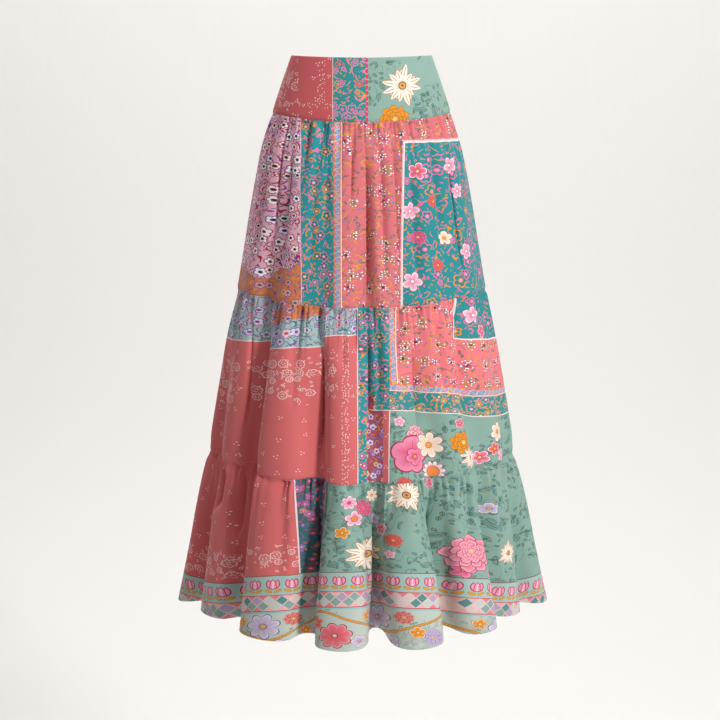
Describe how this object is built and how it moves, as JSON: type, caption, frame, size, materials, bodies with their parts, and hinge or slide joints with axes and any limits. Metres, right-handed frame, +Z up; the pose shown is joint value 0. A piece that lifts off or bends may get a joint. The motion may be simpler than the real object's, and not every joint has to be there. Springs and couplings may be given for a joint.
{
  "type": "maxi skirt",
  "caption": "Hollow three-tier gathered maxi skirt with a fitted yoke waist, in the flared, folded form that it has when it is worn.",
  "frame": {"origin": "centre of the waist opening, at the height of its upper edge at the sides", "axes": "+Z up out of the waist, the front faces -Y, +X is to the right of someone who looks at the front"},
  "size_m": [0.6716, 0.5507, 0.982],
  "materials": {
    "yoke_print": "printed cotton, matt",
    "tier_1_print": "printed cotton, matt",
    "tier_2_print": "printed cotton, matt",
    "tier_3_print": "printed cotton, matt"
  },
  "bodies": {
    "root": {"yoke_front": "yoke_print", "yoke_back": "yoke_print", "tier_1_front": "tier_1_print", "tier_1_back": "tier_1_print", "tier_2_front": "tier_2_print", "tier_2_back": "tier_2_print", "tier_3_front": "tier_3_print", "tier_3_back": "tier_3_print"}
  },
  "joints": []
}
